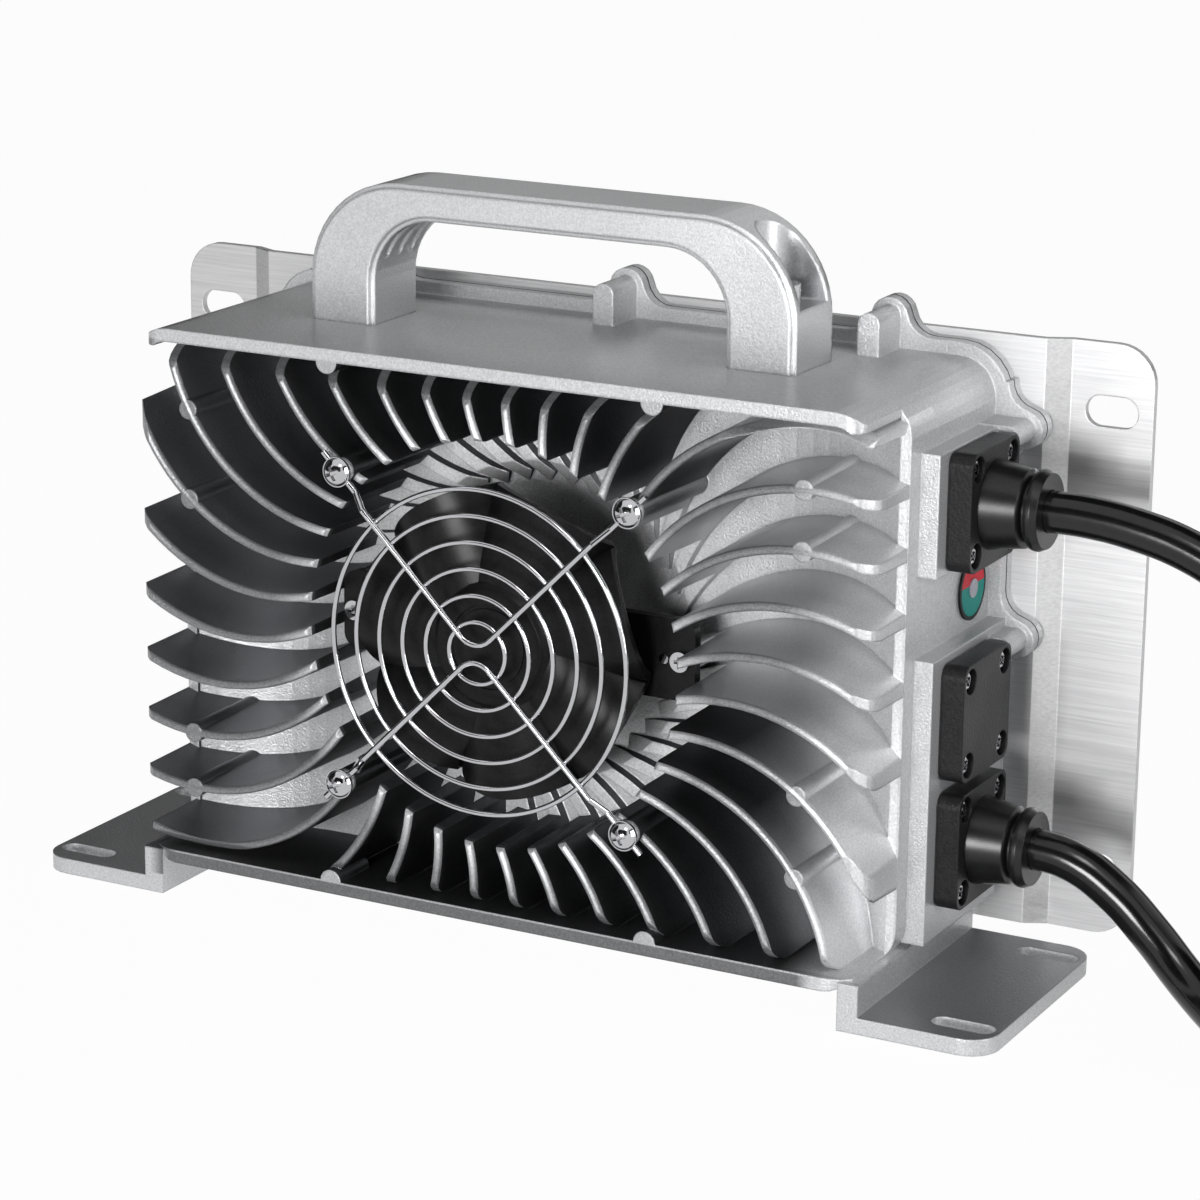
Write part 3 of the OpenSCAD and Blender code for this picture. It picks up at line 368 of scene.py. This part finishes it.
def plastic(name, dark, light, rough, grain, bump, bevel=0.0, coat=0.0, specular=0.5):
    m, t, b = new_mat(name)
    fine = noise(t, grain, 2, 0.6)
    cloud = noise(t, 45, 3)
    feed(t, b.inputs["Base Color"], mixed(t, ranged(t, fine, 0, 1), dark, light))
    feed(t, b.inputs["Roughness"], ranged(t, cloud, *rough))
    feed(t, b.inputs["Specular IOR Level"], specular)
    feed(t, b.inputs["Coat Weight"], coat)
    bumped(t, b, [(fine, bump, 0.0001)], bevel)
    return m


DISC_CENTRE = (0.105, 0.0265, 0.0982)
DISC_COLOURED_R = 0.0072
DISC_SPLIT_Z = 0.0992


def indicator_material():
    """Black rim, upper part red and lower part green, split along a level line."""
    m, t, b = new_mat("indicator_disc")
    place, at = coordinates(t)
    above = maths(t, "GREATER_THAN", at["Z"], DISC_SPLIT_Z)
    rim = maths(t, "GREATER_THAN", distance(t, place, DISC_CENTRE), DISC_COLOURED_R)
    halves = mixed(t, above, (0.0, 0.27, 0.23), (0.66, 0.015, 0.035))
    fine = noise(t, 900, 2)
    feed(t, b.inputs["Base Color"], mixed(t, rim, halves, (0.01, 0.01, 0.01)))
    feed(t, b.inputs["Specular IOR Level"], 0.1)
    feed(t, b.inputs["Roughness"], ranged(t, fine, 0.3, 0.42))
    bumped(t, b, [(fine, 0.08, 0.0001)])
    return m


MATERIALS = {
    "casting": casting_material(),
    "handle": grainy_metal(
        "handle_paint", (0.48, 0.485, 0.495), (0.64, 0.645, 0.655), metallic=0.9,
        rough=(0.28, 0.36), grain=1900, bump=0.45, bevel=0.0011),
    "brushed": brushed("brushed_stainless", (0.44, 0.44, 0.45), (0.60, 0.60, 0.60),
                       rough=(0.4, 0.48)),
    "steel": polished("zinc_steel", (0.62, 0.62, 0.64), rough=(0.22, 0.34)),
    "chrome": polished("bright_chrome", (0.52, 0.52, 0.54), rough=(0.06, 0.12)),
    "fan": plastic(
        "fan_plastic", (0.004, 0.004, 0.0045), (0.009, 0.009, 0.0095), rough=(0.28, 0.38),
        grain=1400, bump=0.1, bevel=0.0003, specular=0.14),
    "plate": plastic(
        "plate_plastic", (0.004, 0.004, 0.0045), (0.013, 0.013, 0.014), rough=(0.34, 0.46),
        grain=1500, bump=0.9, bevel=0.0006, specular=0.2),
    "gland": plastic(
        "gland_rubber", (0.003, 0.003, 0.0033), (0.007, 0.007, 0.0073), rough=(0.26, 0.34),
        grain=1200, bump=0.1, bevel=0.0004, specular=0.35),
    "seal": plastic("seal_rubber", (0.012, 0.012, 0.012), (0.022, 0.022, 0.022),
                    rough=(0.6, 0.75), grain=1200, bump=0.1),
    "cable": plastic("cable_sheath", (0.003, 0.003, 0.0033), (0.006, 0.006, 0.0063),
                     rough=(0.15, 0.21), grain=700, bump=0.05, specular=0.4),
    "indicator": indicator_material(),
    "lens": plastic("milky_lens", (0.26, 0.27, 0.33), (0.32, 0.33, 0.4),
                    rough=(0.2, 0.3), grain=900, bump=0.03, coat=0.3),
    "board": plastic("circuit_green", (0.015, 0.09, 0.04), (0.03, 0.14, 0.06),
                     rough=(0.3, 0.45), grain=600, bump=0.1),
    "ferrite": plastic("dark_ferrite", (0.03, 0.03, 0.033), (0.06, 0.06, 0.065),
                       rough=(0.5, 0.7), grain=900, bump=0.2),
    "tape": plastic("winding_tape", (0.6, 0.4, 0.06), (0.7, 0.5, 0.1),
                    rough=(0.3, 0.45), grain=500, bump=0.05),
    "toroid": plastic("powder_core", (0.5, 0.45, 0.12), (0.6, 0.55, 0.2),
                      rough=(0.4, 0.55), grain=700, bump=0.1),
    "copper": polished("enamelled_copper", (0.72, 0.38, 0.2), rough=(0.2, 0.32)),
    "brass": polished("plated_brass", (0.8, 0.68, 0.42), rough=(0.16, 0.26)),
    "sleeve": plastic("capacitor_sleeve", (0.01, 0.012, 0.03), (0.02, 0.022, 0.05),
                      rough=(0.22, 0.32), grain=500, bump=0.04),
    "epoxy": plastic("black_epoxy", (0.012, 0.012, 0.012), (0.02, 0.02, 0.02),
                     rough=(0.5, 0.65), grain=1500, bump=0.15),
    "pad": plastic("silicone_pad", (0.4, 0.4, 0.42), (0.5, 0.5, 0.52),
                   rough=(0.6, 0.75), grain=900, bump=0.08),
    "blue": plastic("relay_case", (0.02, 0.05, 0.2), (0.03, 0.07, 0.26),
                    rough=(0.3, 0.42), grain=900, bump=0.05),
    "ceramic": plastic("pale_ceramic", (0.55, 0.55, 0.5), (0.66, 0.66, 0.6),
                       rough=(0.35, 0.5), grain=900, bump=0.06),
    "green": plastic("terminal_plastic", (0.02, 0.16, 0.05), (0.03, 0.22, 0.07),
                     rough=(0.35, 0.5), grain=900, bump=0.05),
    "grey": plastic("connector_plastic", (0.09, 0.09, 0.1), (0.13, 0.13, 0.14),
                    rough=(0.4, 0.55), grain=1300, bump=0.15, bevel=0.0004),
}
LOOKS = {
    "housing": "casting", "rear_cover": "casting", "cover_gasket": "seal",
    "cover_screws": "steel", "mount_bracket": "brushed", "bracket_screws": "steel",
    "handle": "handle", "handle_screws": "steel", "fan_frame": "fan", "fan_stator": "copper",
    "fan_bearings": "steel", "fan_shaft": "steel", "fan_rotor": "fan", "fan_screws": "chrome",
    "fan_guard": "chrome", "guard_screws": "chrome", "upper_gland_plate": "plate",
    "lower_gland_plate": "plate", "blank_plate": "plate", "plate_seals": "seal",
    "plate_screws": "chrome", "upper_gland": "gland", "lower_gland": "gland",
    "indicator_ring": "indicator", "indicator_lens": "lens", "circuit_board": "board",
    "board_screws": "steel", "transformer_core": "ferrite", "transformer_winding": "tape",
    "inductor_cores": "toroid", "inductor_windings": "copper", "capacitors": "sleeve",
    "power_transistors": "epoxy", "thermal_pads": "pad", "clamp_bar": "brushed",
    "clamp_screws": "steel", "relay": "blue", "fuse_holder": "ceramic",
    "indicator_led": "lens", "terminal_block": "green", "mains_cable": "cable",
    "mains_coil": "cable", "mains_tail": "cable", "mains_plug": "gland",
    "mains_plug_pins": "brass", "output_cable": "cable", "output_coil": "cable",
    "output_tail": "cable", "output_connector": "grey", "output_contacts": "copper",
}
for name, look in LOOKS.items():
    materials = nodes[name].data.materials
    materials.clear()
    materials.append(MATERIALS[look])

# The two cables, one smooth curve each
for name, route, node_names, far_end, plug in (
        ("mains_lead", mains_route, ("mains_cable", "mains_coil", "mains_tail"),
         "plug", ("mains_plug", "mains_plug_pins")),
        ("output_lead", output_route, ("output_cable", "output_coil", "output_tail"),
         "connector", ("output_connector", "output_contacts"))):
    lead = cord_curve(name, route)
    lead.data.materials.append(MATERIALS["cable"])
    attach(lead, "base")
    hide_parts(*node_names)


# Pale floor and white surroundings
FLOOR_HALF = 4.0
FLOOR_DROP = 0.0003
FLOOR_GREY = 0.86
FLOOR_GLOW = 0.97
WORLD_FILL = 0.03
WHITE = (1, 1, 1)


def quad(name, corners, material):
    """A flat four-sided piece of the studio, which isn't part of the object."""
    mesh = bpy.data.meshes.new(name)
    mesh.from_pydata(corners, [], [(0, 1, 2, 3)])
    mesh.materials.append(material)
    o = add_object(name, mesh)
    return o


def seen_directly(t):
    """1 for camera, mirror and glass rays, and 0 for the light that the world gives."""
    lp = t.nodes.new("ShaderNodeLightPath").outputs
    mirror = maths(t, "MAXIMUM", lp["Is Camera Ray"], lp["Is Glossy Ray"])
    return maths(t, "MAXIMUM", mirror, lp["Is Transmission Ray"])


def shaders_mixed(t, output, fac, first, second):
    mix = t.nodes.new("ShaderNodeMixShader")
    feed(t, mix.inputs["Fac"], fac)
    feed(t, mix.inputs[1], first.outputs[0])
    feed(t, mix.inputs[2], second.outputs[0])
    feed(t, t.nodes.new(output).inputs["Surface"], mix.outputs[0])


def floor_material():
    m = bpy.data.materials.new("floor_white")
    m.use_nodes = True
    t = m.node_tree
    t.nodes.clear()
    matt = t.nodes.new("ShaderNodeBsdfDiffuse")
    feed(t, matt.inputs["Color"], (FLOOR_GREY, FLOOR_GREY, FLOOR_GREY))
    glow = t.nodes.new("ShaderNodeEmission")
    feed(t, glow.inputs["Color"], WHITE)
    share = maths(t, "MULTIPLY", seen_directly(t), FLOOR_GLOW)
    shaders_mixed(t, "ShaderNodeOutputMaterial", share, matt, glow)
    return m


def white_world():
    world = bpy.data.worlds.new("studio")
    world.use_nodes = True
    t = world.node_tree
    t.nodes.clear()
    fill = t.nodes.new("ShaderNodeBackground")
    feed(t, fill.inputs["Color"], WHITE)
    feed(t, fill.inputs["Strength"], WORLD_FILL)
    seen = t.nodes.new("ShaderNodeBackground")
    feed(t, seen.inputs["Color"], WHITE)
    feed(t, seen.inputs["Strength"], 1.0)
    shaders_mixed(t, "ShaderNodeOutputWorld", seen_directly(t), fill, seen)
    return world


floor = quad("floor", [(x * FLOOR_HALF, y * FLOOR_HALF, 0)
                       for x, y in ((-1, -1), (1, -1), (1, 1), (-1, 1))], floor_material())
floor.location.z = -FLOOR_DROP
scene.world = white_world()


# Soft lamps: place, target, width, height and power in watts
LAMPS = {
    "key_front": ((0.12, -1.5, 0.16), (0.0, 0.0, 0.08), 0.5, 0.5, 23),
    "side_right": ((1.35, -0.25, 0.4), (0.1, 0.0, 0.08), 0.5, 0.9, 10),
    "high_front": ((0.45, -0.7, 1.2), (0.05, 0.0, 0.08), 0.3, 0.3, 3),
}
for name, (place, target, width, height, power) in LAMPS.items():
    data = bpy.data.lights.new(name, "AREA")
    data.shape = "RECTANGLE"
    data.size = width
    data.size_y = height
    data.energy = power
    lamp = add_object(name, data)
    lamp.location = place
    lamp.rotation_mode = "QUATERNION"
    lamp.rotation_quaternion = (Vector(target) - Vector(place)).to_track_quat("-Z", "Y")

# Dark studio cards for contrast in the metal, hidden from the camera itself
CARDS = {
    "card_back": [(-3, 2.6, 0.01), (1.6, 2.6, 0.01), (1.6, 2.6, 0.9), (-3, 2.6, 0.9)],
    "card_top": [(-3, 0.2, 2.2), (1.6, 0.2, 2.2), (1.6, 2.6, 2.2), (-3, 2.6, 2.2)],
    "card_left": [(-1.7, -1.4, 0.01), (-1.7, 2.4, 0.01), (-1.7, 2.4, 2.2), (-1.7, -1.4, 2.2)],
    "card_front": [(-1.6, -2.3, 0.5), (1.8, -2.3, 0.5), (1.8, -2.3, 2.4), (-1.6, -2.3, 2.4)],
    "card_right": [(2.3, -1.6, 0.8), (2.3, 1.4, 0.8), (2.3, 1.4, 2.4), (2.3, -1.6, 2.4)],
}
card_mat, card_tree, card_shader = new_mat("studio_card")
feed(card_tree, card_shader.inputs["Base Color"], (0.03, 0.03, 0.03))
feed(card_tree, card_shader.inputs["Roughness"], 0.9)
for name, corners in CARDS.items():
    card = quad(name, corners, card_mat)
    card.visible_camera = False
